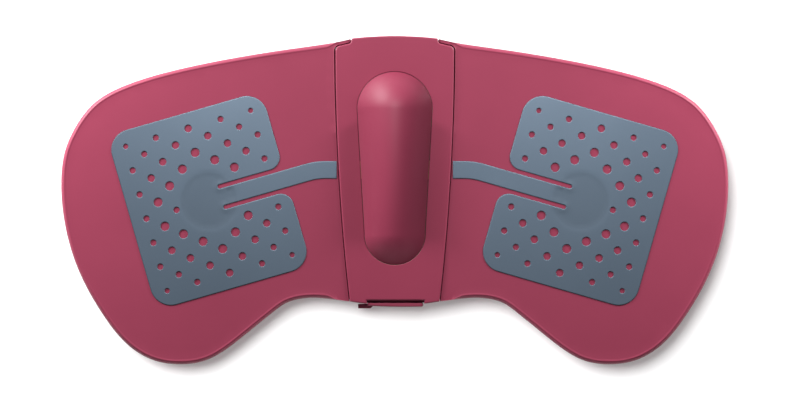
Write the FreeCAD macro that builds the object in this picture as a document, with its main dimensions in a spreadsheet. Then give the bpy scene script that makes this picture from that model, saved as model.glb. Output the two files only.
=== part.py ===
import FreeCAD, Part
import math
import os
import Sketcher

# Wearable TENS unit: a slim rigid module with a soft wing on each side.
# It lies on its control side: +Z is the skin side, +Y the upper edge when worn,
# and the origin is the centre of the box's bottom.

os.makedirs("parts", exist_ok=True)
doc = FreeCAD.newDocument("tens_unit")
Vector = FreeCAD.Vector

# ---------------------------------------------------------------- sizes

SIZES = [
    # heights above the resting face
    ("overlay_low", 0.10),
    ("overlay_high", 0.40),
    ("button_low", 0.15),
    ("floor_top", 1.60),
    ("flange_low", 1.70),
    ("flange_high", 2.10),
    ("nub_low", 2.60),
    ("switch_low", 2.90),
    ("board_low", 3.60),
    ("board_high", 4.60),
    ("chip_high", 5.40),
    ("foam_high", 6.00),
    ("wall_top", 6.00),
    ("panel_low", 6.50),
    ("panel_high", 7.90),
    ("root_low", 4.40),
    ("wing_low", 3.60),
    ("core_low", 5.40),
    ("skin_low", 5.80),
    ("skin_high", 7.40),
    ("patch_low", 6.50),
    ("film_low", 6.90),
    ("film_high", 7.60),
    ("battery_high", 11.50),
    ("dome_flange_low", 5.90),
    ("screw_seat", 1.30),
    ("screw_tip", 6.20),
    ("flap_low", 1.40),
    ("flap_high", 7.50),
    ("notch_ledge", 1.20),
    ("port_low", 2.10),
    ("port_high", 5.90),
    ("lip_low", 2.50),
    ("lip_high", 5.50),
    ("tab_low", 2.60),
    ("tab_high", 5.60),
    ("passive_high", 5.20),
    ("coil_low", 5.60),
    ("coil_high", 9.20),
    ("transformer_high", 10.00),
    ("plug_high", 6.20),
    ("strip_high", 5.60),
    ("tongue_low", 3.65),
    ("tongue_high", 4.35),
    # walls, gaps and rounding
    ("seam_gap", 0.25),
    ("wall", 2.20),
    ("panel_rim", 1.40),
    ("seal_width", 0.70),
    ("seal_play", 0.05),
    ("overlay_inset", 4.20),
    ("board_inset", 3.40),
    ("root_depth", 3.00),
    ("backing_setback", 3.00),
    ("core_inset", 5.00),
    ("housing_round", 2.10),
    ("panel_round", 0.30),
    ("skin_round", 0.60),
    ("backing_round", 1.50),
    # dome, a tapered stadium in plan
    ("dome_top_y", 27.20),
    ("dome_top_radius", 11.40),
    ("dome_foot_y", -10.30),
    ("dome_foot_radius", 9.20),
    ("dome_sink", 2.30),
    ("dome_wall", 1.40),
    ("dome_gap", 0.12),
    ("dome_flange", 1.20),
    # electrode film
    ("film_x", 55.75),
    ("film_y", -0.175),
    ("film_tilt", 16.05),
    ("film_half_width", 24.20),
    ("film_half_length", 27.30),
    ("film_corner", 6.30),
    ("film_inner_corner", 4.00),
    ("tail_half_width", 2.65),
    ("slot_outer", 3.75),
    ("slot_end", 4.25),
    ("tail_y", 9.10),
    ("tail_bend", 20.00),
    ("tail_tip_x", 17.90),
    ("patch_radius", 8.50),
    # fasteners, buttons and connector
    ("screw_radius", 0.90),
    ("screw_head_radius", 1.70),
    ("boss_radius", 2.80),
    ("panel_boss_radius", 2.40),
    ("button_play", 0.15),
    ("button_flange", 0.80),
    ("switch_side", 4.00),
    ("nub_radius", 1.20),
    ("socket_half_width", 4.47),
    ("socket_height", 3.20),
    ("socket_wall", 0.30),
    ("socket_length", 7.20),
    ("socket_low", 2.40),
    ("socket_front", -29.20),
]

sheet = doc.addObject("Spreadsheet::Sheet", "sizes")
for row, (alias, value) in enumerate(SIZES, start=1):
    sheet.set(f"A{row}", alias)
    sheet.set(f"B{row}", str(value))
    sheet.setAlias(f"B{row}", alias)
doc.recompute()


def size(alias):
    """The value of one cell of the sheet."""
    return float(getattr(sheet, alias))


# ---------------------------------------------------------------- plan outlines

# Half of each outline, on the +X side; the other half is its mirror image.
SEAM = [(13.6, -30.4), (16.75, 5.9), (18.0, 44.8)]
PANEL_SHOULDER = [(12.9, 48.55), (13.05, 47.75), (13.35, 47.2), (14.1, 46.9), (16.1, 46.4),
                  (17.3, 45.9), (17.75, 44.8)]
HOUSING_SHOULDER = [(11.0, 48.72), (15.4, 46.0), (17.72, 41.5)]
TOP_APEX_Y = 49.275
FOOT_APEX_Y = -31.6
WING_EDGE = [
    (13.8, -30.4), (18.0, -29.85), (24.0, -29.3), (29.5, -29.85), (33.0, -31.1), (36.0, -33.2),
    (43.7, -39.4), (50.2, -44.5), (57.0, -48.2), (64.4, -49.275), (71.5, -48.35), (79.5, -44.0),
    (87.6, -34.4), (95.0, -20.9), (99.3, -5.7), (100.15, 6.0), (98.9, 15.2), (96.2, 21.4),
    (90.4, 29.0), (79.5, 35.0), (64.8, 39.3), (45.9, 43.1), (28.4, 45.8), (18.25, 47.3),
]
# Lowest and highest y of the root by which the shells clamp a wing.
ROOT_SPAN = (-16.0, 34.0)
SCREW_PLACES = [(10.5, 39.5), (-10.5, 39.5), (7.9, -21.5), (-7.9, -21.5)]
# y and radius of each button
BUTTONS = {"plus_button": (33.0, 5.0), "mode_button": (21.0, 4.0),
           "minus_button": (9.0, 5.0), "power_button": (-13.0, 4.6)}
LIGHT_Y = -1.5
LIGHT_HALF_LENGTH = 4.0
LIGHT_RADIUS = 1.1
LIGHT_PLAY = 0.05
LED_PITCH = 2.6
# left, right and back of the notch in the module's foot, and the half width of the plug opening
USB_NOTCH = (-8.4, 8.9, -30.4)
PORT_HALF_WIDTH = 4.9
# x and y of the flap's hinge, and half the flap's thickness there
USB_HINGE = (8.0, -31.4, 0.55)
FLAP_FACE_Y = -31.98
FLAP_LEFT_X = -8.1
LIP_HALF_WIDTH = 4.4
LIP_DEPTH = 1.0
PULL_TAB = [(-11.0, -31.35), (-7.5, -31.35), (-7.5, -31.7), (-6.4, -31.7), (-7.3, -32.65), (-11.0, -32.65)]
# centre x, centre y, length, width of each chip on the board's skin side
CHIPS = [(0, 12, 7, 7), (0, 2, 4, 4), (-9, -9, 3, 3), (9.2, 20, 4, 5), (-9.4, 21, 5, 4), (0, 42.5, 8, 4)]
PASSIVE_COLUMNS = (-11.0, 11.0)
PASSIVE_ROWS = (26.0, 29.0, 32.0)
# x, y and radius of each capacitor, and the height of its can
CAPACITORS = [(-3.6, -12.0, 2.0), (-0.2, -15.4, 1.6)]
CAN_HEIGHT = 3.9
# x low, y low, x high, y high of the cell, and of the foam under it
CELL = (-5.8, -6.0, 5.8, 27.0)
CELL_CORNER = 1.5
FOAM = (-4.5, -3.0, 4.5, 24.0)
LEAD_X = (2.9, 4.1)
LEAD_Z = 8.6
LEAD_BEND = 1.6
LEAD_RADIUS = 0.45
PLUG_Y = -11.5
CONTACT_X = 9.6


def point(x, y):
    return Vector(x, y, 0)


def line(a, b):
    return Part.LineSegment(point(*a), point(*b))


def arc(a, b, c):
    return Part.Arc(point(*a), point(*b), point(*c))


def mirrored(places):
    return [(-x, y) for x, y in places]


def polygon(corners):
    """Closed run of straight edges."""
    return [line(a, b) for a, b in zip(corners, corners[1:] + corners[:1])]


def rectangle(x_low, y_low, x_high, y_high):
    return polygon([(x_low, y_low), (x_high, y_low), (x_high, y_high), (x_low, y_high)])


def circle(x, y, radius):
    return [Part.Circle(point(x, y), Vector(0, 0, 1), radius)]


def rounded_rectangle(x_low, y_low, x_high, y_high, radius):
    """Rectangle whose four corners are quarter circles."""
    curves = []
    corners = [(x_high - radius, y_high - radius, 0), (x_low + radius, y_high - radius, 90),
               (x_low + radius, y_low + radius, 180), (x_high - radius, y_low + radius, 270)]
    ends = []
    for x, y, start in corners:
        turn = [math.radians(start + step) for step in (0, 45, 90)]
        places = [(x + radius * math.cos(a), y + radius * math.sin(a)) for a in turn]
        curves.append(arc(*places))
        ends.append((places[0], places[2]))
    for index, (_, leave) in enumerate(ends):
        arrive = ends[(index + 1) % 4][0]
        if math.dist(leave, arrive) > 1e-6:
            curves.append(line(leave, arrive))
    return curves


def closed_outline(shoulder, side):
    """Tapered bar: crown arc, a shoulder on each side, the two seam arcs and the foot arc."""
    gap = size("seam_gap")
    foot, middle, _ = [(x - gap, y) for x, y in SEAM]
    curves = []
    for places in (shoulder, mirrored(shoulder)):
        sign = math.copysign(1, places[0][0])
        curves += side(places)
        curves.append(arc(places[-1], (sign * middle[0], middle[1]), (sign * foot[0], foot[1])))
    tip = shoulder[0]
    curves.append(arc((-tip[0], tip[1]), (0, TOP_APEX_Y), tip))
    curves.append(arc(foot, (0, FOOT_APEX_Y), (-foot[0], foot[1])))
    return curves


def panel_outline():
    """Outline of the back panel, with a stepped shoulder at each top corner."""

    def side(places):
        tip, step, hollow, flat, brow, bend, end = places
        return [line(tip, step), arc(step, hollow, flat), line(flat, brow), arc(brow, bend, end)]

    return closed_outline(PANEL_SHOULDER, side)


def housing_outline():
    """Outline of the tray, whose top corners are plain large curves inside the panel's."""
    return closed_outline(HOUSING_SHOULDER, lambda places: [arc(*places)])


def tapered_stadium(grow=0.0, radii=None):
    """Outline of the dome: two circles of different size joined by their tangents."""
    top_radius, foot_radius = radii or (size("dome_top_radius"), size("dome_foot_radius"))
    top_radius += grow
    foot_radius += grow
    top_y = size("dome_top_y")
    foot_y = size("dome_foot_y")
    lean = math.asin((top_radius - foot_radius) / (top_y - foot_y))
    top = (top_radius * math.cos(lean), top_y + top_radius * math.sin(lean))
    foot = (foot_radius * math.cos(lean), foot_y + foot_radius * math.sin(lean))
    top_left, foot_left = mirrored([top, foot])
    return [arc(top, (0, top_y + top_radius), top_left), line(top_left, foot_left),
            arc(foot_left, (0, foot_y - foot_radius), foot), line(foot, top)]


def wing_outline():
    """Outline of the right wing: its free edge and its root along the seam."""
    gap = size("seam_gap")
    edge = Part.BSplineCurve()
    edge.interpolate([point(x, y) for x, y in WING_EDGE])
    foot, head = WING_EDGE[0], WING_EDGE[-1]
    middle = (SEAM[1][0] + gap, SEAM[1][1])
    return [edge, arc(head, middle, foot)]


def root_band(reach_in, reach_out, y_low, y_high):
    """Strip along the right seam, from reach_in inside it to reach_out outside it."""
    foot, middle, head = SEAM
    seam = Part.Arc(point(*foot), point(*middle), point(*head))

    def on_seam(y, shift):
        first, last = seam.FirstParameter, seam.LastParameter
        for _ in range(60):
            half = (first + last) / 2
            if (seam.value(half).y < y) == (seam.value(seam.FirstParameter).y < y):
                first = half
            else:
                last = half
        return (seam.value(half).x + shift, y)

    y_middle = (y_low + y_high) / 2
    inner = [on_seam(y, -reach_in) for y in (y_low, y_middle, y_high)]
    outer = [on_seam(y, reach_out) for y in (y_high, y_middle, y_low)]
    return [arc(*inner), line(inner[2], outer[0]), arc(*outer), line(outer[2], inner[0])]


def inset(curves, distance):
    """The same outline, moved inwards by a distance."""
    wire = Part.Wire(Part.__sortEdges__([curve.toShape() for curve in curves]))
    result = []
    for edge in wire.makeOffset2D(-distance).Edges:
        curve = edge.Curve
        first, last = edge.ParameterRange
        if curve.TypeId == "Part::GeomLine":
            ends = [vertex.Point for vertex in edge.Vertexes]
            result.append(Part.LineSegment(ends[0], ends[1]))
        elif curve.TypeId == "Part::GeomCircle":
            result.append(Part.ArcOfCircle(curve, first, last))
        else:
            spline = edge.toNurbs().Edges[0].Curve
            result.append(spline)
    return result


# ---------------------------------------------------------------- building helpers


def new_body(label):
    body = doc.addObject("PartDesign::Body", label)
    body.Label = label
    return body


def origin_plane(body, role):
    return next(item for item in body.Origin.OriginFeatures if item.Role == role)


def flat_sketch(body, curves, height):
    """Sketch parallel to the XY plane, at the height that a cell or a formula gives."""
    sketch = body.newObject("Sketcher::SketchObject", body.Name + "_sketch")
    sketch.AttachmentSupport = (origin_plane(body, "XY_Plane"), "")
    sketch.MapMode = "FlatFace"
    sketch.setExpression(".AttachmentOffset.Base.z", height)
    for curve in curves:
        sketch.addGeometry(curve, False)
    return sketch


def cell(name):
    """The text of a formula that reads one cell, or of a plain number."""
    return f"sizes.{name}" if isinstance(name, str) else f"{name}"


def slab(body, curves, low, high):
    """Adds a straight prism between two heights."""
    pad = body.newObject("PartDesign::Pad", body.Name + "_pad")
    pad.Profile = flat_sketch(body, curves, cell(low))
    pad.setExpression("Length", f"{cell(high)} - {cell(low)}")
    body.Tip = pad
    doc.recompute()
    return pad


def cut(body, curves, low, high):
    """Removes a straight prism between two heights, and tests that something went."""
    before = body.Shape.Volume
    pocket = body.newObject("PartDesign::Pocket", body.Name + "_pocket")
    pocket.Profile = flat_sketch(body, curves, cell(high))
    pocket.setExpression("Length", f"{cell(high)} - {cell(low)}")
    body.Tip = pocket
    doc.recompute()
    if not body.Shape.Volume < before - 1e-6:
        raise ValueError(f"{body.Label}: a pocket cut nothing")
    return pocket


def edges_at(shape, height):
    """Names of the edges that lie wholly at one height."""
    names = []
    for index, edge in enumerate(shape.Edges, start=1):
        box = edge.BoundBox
        if abs(box.ZMin - height) < 1e-4 and abs(box.ZMax - height) < 1e-4:
            names.append(f"Edge{index}")
    return names


def round_edges(body, height, radius):
    """Rounds every edge at one height."""
    base = body.Tip
    fillet = body.newObject("PartDesign::Fillet", body.Name + "_fillet")
    fillet.Base = (base, edges_at(base.Shape, height))
    fillet.setExpression("Radius", cell(radius))
    body.Tip = fillet
    doc.recompute()


def turned(label, profile, x, y):
    """Body of revolution about a vertical axis at x, y; the profile is radius and height pairs."""
    body = new_body(label)
    sketch = body.newObject("Sketcher::SketchObject", label + "_profile")
    sketch.AttachmentSupport = (origin_plane(body, "XZ_Plane"), "")
    sketch.MapMode = "FlatFace"
    for index, (start, end) in enumerate(zip(profile, profile[1:] + profile[:1])):
        sketch.addGeometry(line(start, end), False)
    spin = body.newObject("PartDesign::Revolution", label + "_turn")
    spin.Profile = sketch
    spin.ReferenceAxis = (sketch, ["V_Axis"])
    spin.Angle = 360
    body.Tip = spin
    body.Placement.Base = Vector(x, y, 0)
    doc.recompute()
    return body


def block(label, x_low, y_low, x_high, y_high, low, high):
    """Plain box between two heights of the sheet."""
    box = doc.addObject("Part::Box", label)
    box.Label = label
    box.Length = x_high - x_low
    box.Width = y_high - y_low
    box.setExpression("Height", f"{cell(high)} - {cell(low)}")
    box.Placement.Base = Vector(x_low, y_low, 0)
    box.setExpression(".Placement.Base.z", cell(low))
    return box


def group(label, members):
    """Several separate solids of one kind in one node."""
    compound = doc.addObject("Part::Compound", label)
    compound.Label = label
    compound.Links = members
    return compound


nodes = []


def keep(item):
    nodes.append(item)
    return item


# ---------------------------------------------------------------- rigid module: shells


def front_housing():
    """Control-side tray with rounded rim, button holes, screw bosses and the USB opening."""
    body = new_body("front_housing")
    outline = housing_outline()
    slab(body, outline, 0, "wall_top")
    round_edges(body, 0, "housing_round")
    cut(body, inset(outline, size("wall")), "floor_top", "wall_top")
    for x, y in SCREW_PLACES:
        slab(body, circle(x, y, size("boss_radius")), "floor_top", "board_low")
    cut(body, inset(outline, size("overlay_inset")), 0, "overlay_high")
    for x, y in SCREW_PLACES:
        cut(body, circle(x, y, size("screw_radius") + size("button_play")), 0, "board_low")
        cut(body, circle(x, y, size("screw_head_radius")), 0, "screw_seat")
    for y, radius in BUTTONS.values():
        cut(body, circle(0, y, radius + size("button_play")), 0, "floor_top")
    cut(body, light_window(LIGHT_PLAY), 0, "floor_top")
    past_the_edge = 2.0
    band = root_band(size("root_depth"), past_the_edge, *ROOT_SPAN)
    cut(body, band, "root_low", "wall_top")
    cut(body, [flip(curve) for curve in band], "root_low", "wall_top")
    back = USB_NOTCH[2]
    cut(body, notch(), "notch_ledge", "wall_top")
    cut(body, rectangle(-PORT_HALF_WIDTH, back - 1, PORT_HALF_WIDTH, back + 2), "port_low", "port_high")
    return body


def notch():
    """Plan of the notch in the module's foot where the flap lies, open to the outside."""
    left, right, back = USB_NOTCH
    return rectangle(left, back - 5, right, back)


def flip(curve):
    """Mirror image of a curve on the other side of the Y axis."""
    other = curve.copy()
    other.mirror(Vector(0, 0, 0), Vector(0, 1, 0))
    return other


def light_window(play):
    """Slim stadium over the row of indicator lights."""
    half, radius = LIGHT_HALF_LENGTH, LIGHT_RADIUS + play
    return [line((-half, LIGHT_Y - radius), (half, LIGHT_Y - radius)),
            arc((half, LIGHT_Y - radius), (half + radius, LIGHT_Y), (half, LIGHT_Y + radius)),
            line((half, LIGHT_Y + radius), (-half, LIGHT_Y + radius)),
            arc((-half, LIGHT_Y + radius), (-half - radius, LIGHT_Y), (-half, LIGHT_Y - radius))]


def back_panel():
    """Skin-side cover with the opening for the dome, a rim and four screw bosses."""
    body = new_body("back_panel")
    outline = panel_outline()
    slab(body, outline, "wall_top", "panel_high")
    round_edges(body, size("panel_high"), "panel_round")
    cut(body, inset(outline, size("panel_rim")), "wall_top", "panel_low")
    cut(body, inset(housing_outline(), size("panel_rim")), "wall_top", "panel_low")
    for x, y in SCREW_PLACES:
        slab(body, circle(x, y, size("panel_boss_radius")), "board_high", "panel_low")
    for x, y in SCREW_PLACES:
        cut(body, circle(x, y, size("screw_radius")), "board_high", "screw_tip")
    cut(body, tapered_stadium(), "panel_low", "panel_high")
    cut(body, notch(), "wall_top", "panel_high")
    return body


def plan_face(curves):
    return Part.Face(Part.Wire(Part.__sortEdges__([curve.toShape() for curve in curves])))


def capsule(shrink):
    """Tapered capsule, sunk below the panel's face so that its section there fills the opening."""
    sink = size("dome_sink")
    gap = size("dome_gap")
    radii = [math.hypot(size(name) - gap, sink) - shrink for name in ("dome_top_radius", "dome_foot_radius")]
    plan = plan_face(tapered_stadium(0.0, radii))
    half_plan = plan.common(Part.makePlane(20, 80, Vector(0, -30, 0))).Faces[0]
    solid = half_plan.revolve(Vector(0, 0, 0), Vector(0, 1, 0), 360)
    solid.translate(Vector(0, 0, size("panel_high") - sink))
    return solid


def dome_cover():
    """Raised cover over the battery: an arched shell, a skirt in the panel and a flange under it."""
    foot = size("panel_high")
    flange_low = size("dome_flange_low")
    panel_low = size("panel_low")
    wall = size("dome_wall")
    gap = size("dome_gap")

    def plug(grow, low, high):
        plate = plan_face(tapered_stadium(grow)).extrude(Vector(0, 0, high - low))
        plate.translate(Vector(0, 0, low))
        return plate

    above = Part.makeBox(60, 90, 30, Vector(-30, -40, foot))
    shell = capsule(0).common(above)
    shell = shell.fuse([plug(-gap, panel_low, foot), plug(size("dome_flange"), flange_low, panel_low)])
    shell = shell.cut(plug(-gap - wall, flange_low, foot)).cut(capsule(wall))
    cover = doc.addObject("Part::Feature", "dome_cover")
    cover.Label = "dome_cover"
    cover.Shape = shell.Solids[0]
    cover.Placement.Base = Vector(0, 0, 0)
    return cover


def housing_seal():
    """Gasket ring clamped between the tray and the panel."""
    body = new_body("housing_seal")
    outline = housing_outline()
    rim = size("panel_rim") + size("seal_play")
    slab(body, inset(outline, rim), "wall_top", "panel_low")
    cut(body, inset(outline, rim + size("seal_width")), "wall_top", "panel_low")
    return body


def keypad_overlay():
    """Thin face film over the screws, with a hole for each button and for the lights."""
    body = new_body("keypad_overlay")
    slab(body, inset(housing_outline(), size("overlay_inset")), "overlay_low", "overlay_high")
    for y, radius in BUTTONS.values():
        cut(body, circle(0, y, radius + size("button_play")), "overlay_low", "overlay_high")
    cut(body, light_window(LIGHT_PLAY), "overlay_low", "overlay_high")
    return body


def case_screws():
    """Four screws, driven from the control side, that clamp the tray and the panel."""
    shank = size("screw_radius")
    head = size("screw_head_radius")
    low, seat, tip = size("overlay_high"), size("screw_seat"), size("screw_tip")
    profile = [(0, low + 0.4), (0.6, low + 0.4), (0.6, low), (head, low), (head, seat),
               (shank, seat), (shank, tip - 0.5), (shank - 0.4, tip), (0, tip)]
    screws = [turned(f"case_screw_{index}", profile, x, y)
              for index, (x, y) in enumerate(SCREW_PLACES)]
    return group("case_screws", screws)


# ---------------------------------------------------------------- rigid module: controls


def button(label):
    """Round key: a dished cap, a body in its hole and a flange that holds it in."""
    y, radius = BUTTONS[label]
    low = size("button_low")
    flange = radius + size("button_flange")
    profile = [(0, low + 0.25), (radius - 0.9, low + 0.05), (radius - 0.4, low), (radius, low + 0.4),
               (radius, size("flange_low")), (flange, size("flange_low")),
               (flange, size("flange_high")), (0, size("flange_high"))]
    return turned(label, profile, 0, y)


def tact_switches():
    """One low switch under the board for each button."""
    half = size("switch_side") / 2
    members = []
    for label, (y, _) in BUTTONS.items():
        body = new_body("switch_" + label)
        slab(body, rectangle(-half, y - half, half, y + half), "switch_low", "board_low")
        slab(body, circle(0, y, size("nub_radius")), "nub_low", "switch_low")
        members.append(body)
    return group("tact_switches", members)


def light_guide():
    """Clear window bar that carries the indicator lights to the face."""
    body = new_body("light_guide")
    slab(body, light_window(0.0), "button_low", "nub_low")
    return body


def status_leds():
    """Row of three indicator lights under the board."""
    members = []
    for index in (-1, 0, 1):
        x = index * LED_PITCH
        members.append(block(f"led_{index + 1}", x - 0.8, LIGHT_Y - 0.4, x + 0.8, LIGHT_Y + 0.4,
                             "switch_low", "board_low"))
    return group("status_leds", members)


# ---------------------------------------------------------------- rigid module: electronics


def main_board():
    """Circuit board with screw holes and a bay for the USB socket."""
    body = new_body("main_board")
    slab(body, inset(housing_outline(), size("board_inset")), "board_low", "board_high")
    for x, y in SCREW_PLACES:
        cut(body, circle(x, y, size("screw_radius") + size("button_play")), "board_low", "board_high")
    half = size("socket_half_width") + 0.2
    bay_end = size("socket_front") + size("socket_length") + 0.2
    cut(body, rectangle(-half, -40, half, bay_end), "board_low", "board_high")
    return body


def board_chips():
    """Controller, charger and driver chips, and two columns of small components."""
    members = []
    for index, (x, y, length, width) in enumerate(CHIPS):
        members.append(block(f"chip_{index}", x - length / 2, y - width / 2,
                             x + length / 2, y + width / 2, "board_high", "chip_high"))
    for x in PASSIVE_COLUMNS:
        for y in PASSIVE_ROWS:
            members.append(block(f"passive_{len(members)}", x - 0.8, y - 0.4, x + 0.8, y + 0.4,
                                 "board_high", "passive_high"))
    return group("board_chips", members)


def output_transformer():
    """Step-up transformer that stands inside the dome's upper end."""
    body = new_body("output_transformer")
    cheek = rectangle(-4, 28.2, 4, 34.4)
    slab(body, cheek, "board_high", "coil_low")
    slab(body, rectangle(-3, 28.7, 3, 33.9), "coil_low", "coil_high")
    slab(body, cheek, "coil_high", "transformer_high")
    return body


def output_capacitors():
    """Two can capacitors inside the dome's lower end."""
    cans = []
    low = size("board_high")
    high = low + CAN_HEIGHT
    for index, (x, y, radius) in enumerate(CAPACITORS):
        profile = [(0, low), (radius, low), (radius, high - 0.3), (radius - 0.3, high), (0, high)]
        cans.append(turned(f"capacitor_{index}", profile, x, y))
    return group("output_capacitors", cans)


def battery_cell():
    """Pouch cell that lies along the dome."""
    body = new_body("battery_cell")
    slab(body, rounded_rectangle(*CELL, CELL_CORNER), "foam_high", "battery_high")
    return body


def battery_foam():
    """Thin adhesive foam between the chips and the cell."""
    return block("battery_foam", *FOAM, "chip_high", "foam_high")


def battery_plug():
    """Two-pole plug on the board for the cell's leads."""
    return block("battery_plug", LEAD_X[0] - 1.0, PLUG_Y - 1.4, LEAD_X[1] + 1.0, PLUG_Y + 1.4,
                 "board_high", "plug_high")


def battery_leads():
    """Two short leads from the end of the cell down into the plug."""
    start_y, start_z, bend, radius = CELL[1], LEAD_Z, LEAD_BEND, LEAD_RADIUS
    leads = []
    for index, x in enumerate(LEAD_X):
        turn_y = PLUG_Y + bend
        corner = math.sqrt(0.5) * bend
        path = Part.Wire([
            Part.LineSegment(Vector(x, start_y, start_z), Vector(x, turn_y, start_z)).toShape(),
            Part.Arc(Vector(x, turn_y, start_z),
                     Vector(x, turn_y - corner, start_z - bend + corner),
                     Vector(x, PLUG_Y, start_z - bend)).toShape(),
            Part.LineSegment(Vector(x, PLUG_Y, start_z - bend),
                             Vector(x, PLUG_Y, size("plug_high"))).toShape(),
        ])
        section = Part.Wire(Part.makeCircle(radius, Vector(x, start_y, start_z), Vector(0, -1, 0)))
        lead = doc.addObject("Part::Feature", f"lead_{index}")
        lead.Shape = path.makePipeShell([section], True, False)
        leads.append(lead)
    return group("battery_leads", leads)


def socket_section(margin):
    """End view of the socket shell, x and height, smaller by a margin."""
    low = size("socket_low") + margin
    high = size("socket_low") + size("socket_height") - margin
    half = size("socket_half_width") - margin
    return rounded_rectangle(-half, low, half, high, 1.2 - margin / 2)


def usb_socket():
    """Metal shell of the socket: a rounded tube, closed at its back."""
    body = new_body("usb_socket")
    front = size("socket_front")
    length = size("socket_length")
    for feature, margin, depth in (("Pad", 0.0, length), ("Pocket", size("socket_wall"), length - 0.6)):
        sketch = body.newObject("Sketcher::SketchObject", "usb_socket_" + feature.lower())
        sketch.AttachmentSupport = (origin_plane(body, "XZ_Plane"), "")
        sketch.MapMode = "FlatFace"
        sketch.setExpression(".AttachmentOffset.Base.z", "-sizes.socket_front")
        for curve in socket_section(margin):
            sketch.addGeometry(curve, False)
        step = body.newObject("PartDesign::" + feature, "usb_socket_step")
        step.Profile = sketch
        step.Length = depth
        step.Reversed = feature == "Pad"
        body.Tip = step
        doc.recompute()
    return body


def usb_tongue():
    """Contact blade in the middle of the socket."""
    return block("usb_tongue", -3.3, size("socket_front") + 1.0, 3.3,
                 size("socket_front") + size("socket_length") - 0.6, "tongue_low", "tongue_high")


def lead_contacts():
    """Spring contacts on the board that press on the lead strips."""
    y = size("tail_y")
    return group("lead_contacts", [block(f"lead_contact_{side}", side * CONTACT_X - 1.2, y - 2.2,
                                         side * CONTACT_X + 1.2, y + 2.2, "board_high", "chip_high")
                                   for side in (-1, 1)])


def lead_strip():
    """Flat conductor from the root of the right wing to its contact."""
    y = size("tail_y")
    half = size("tail_half_width")
    body = new_body("right_lead_strip")
    slab(body, rounded_rectangle(8.2, y - half, 13.0, y + half, 1.0), "chip_high", "strip_high")
    slab(body, rectangle(12.0, y - half, 13.4, y + half), "chip_high", "strip_high")
    return body


def wing_root():
    """Edge of the right wing's silicone that is clamped between the two shells."""
    body = new_body("right_wing_root")
    slab(body, root_band(size("root_depth"), -size("seam_gap"), *ROOT_SPAN), "root_low", "wall_top")
    return body


# ---------------------------------------------------------------- USB flap


def usb_flap():
    """Rubber flap in the module's foot, with a lip for the opening and a pull tab."""
    body = new_body("usb_flap")
    pivot_x, pivot_y, half = USB_HINGE
    back, face, left = pivot_y + half, FLAP_FACE_Y, FLAP_LEFT_X
    outline = [line((left, back), (pivot_x, back)),
               arc((pivot_x, back), (pivot_x + half, pivot_y), (pivot_x, pivot_y - half)),
               arc((pivot_x, pivot_y - half), (0, face), (left, face + 0.3)),
               line((left, face + 0.3), (left, back))]
    slab(body, outline, "flap_low", "flap_high")
    slab(body, rectangle(-LIP_HALF_WIDTH, back, LIP_HALF_WIDTH, back + LIP_DEPTH), "lip_low", "lip_high")
    slab(body, polygon(PULL_TAB), "tab_low", "tab_high")
    return body


# ---------------------------------------------------------------- wings


def tilted(u, v):
    """Place in the plan of a point given in the electrode's own, tilted axes."""
    tilt = math.radians(size("film_tilt"))
    x = size("film_x") + u * math.cos(tilt) + v * math.sin(tilt)
    y = size("film_y") - u * math.sin(tilt) + v * math.cos(tilt)
    return (x, y)


def corner_arc(u, v, radius, u_side, v_side):
    """Rounded corner of the electrode, from its end edge to its side edge."""
    centre = (u - u_side * radius, v - v_side * radius)
    half = radius * math.sqrt(0.5)
    return [tilted(u, centre[1]), tilted(centre[0] + u_side * half, centre[1] + v_side * half),
            tilted(centre[0], v)]


def electrode_outline():
    """Electrode film: a rounded pad, two slots beside the tail, and the tail to the seam."""
    half_width = size("film_half_width")
    half_length = size("film_half_length")
    tail = size("tail_half_width")
    slot = size("slot_outer")
    end = -size("slot_end")
    inner = size("film_inner_corner")
    bend = size("tail_bend")
    tail_y = size("tail_y")
    tip_x = size("tail_tip_x")
    tilt = math.radians(size("film_tilt"))
    corner_u = -(tail_y - size("film_y")) / math.sin(tilt)
    bend_u = corner_u + bend * math.tan(tilt / 2)
    bend_x = tilted(corner_u, 0)[0] - bend * math.tan(tilt / 2)
    centre = (bend_x, tail_y - bend)
    curves = []
    for side in (1, -1):
        outer_in = corner_arc(-half_width, side * half_length, size("film_corner"), -1, side)
        outer_out = corner_arc(half_width, side * half_length, size("film_corner"), 1, side)
        lobe = corner_arc(-half_width, side * slot, inner, -1, -side)
        middle_v = (tail + slot) / 2
        round_u = end + (slot - tail) / 2
        curves.append(arc(tilted(end, side * tail), tilted(round_u, side * middle_v), tilted(end, side * slot)))
        curves.append(line(tilted(end, side * slot), lobe[2]))
        curves.append(arc(*lobe))
        curves.append(line(lobe[0], outer_in[0]))
        curves.append(arc(*outer_in))
        curves.append(line(outer_in[2], outer_out[2]))
        curves.append(arc(*outer_out))
        reach = bend + side * tail
        turn = [tilted(bend_u, side * tail),
                (centre[0] + reach * math.sin(tilt / 2), centre[1] + reach * math.cos(tilt / 2)),
                (bend_x, tail_y + side * tail)]
        curves.append(line(tilted(end, side * tail), turn[0]))
        curves.append(arc(*turn))
        curves.append(line(turn[2], (tip_x, tail_y + side * tail)))
    top = corner_arc(half_width, half_length, size("film_corner"), 1, 1)[0]
    foot = corner_arc(half_width, -half_length, size("film_corner"), 1, -1)[0]
    curves.append(line(top, foot))
    curves.append(line((tip_x, tail_y + tail), (tip_x, tail_y - tail)))
    return curves


HOLE_RADIUS = {2: 0.90, 4: 1.32, 6: 1.10, 8: 0.90, 10: 0.75}
INNER_COLUMN = 5.05
OUTER_COLUMN = 4.70
HOLE_ROW = 3.755


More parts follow.
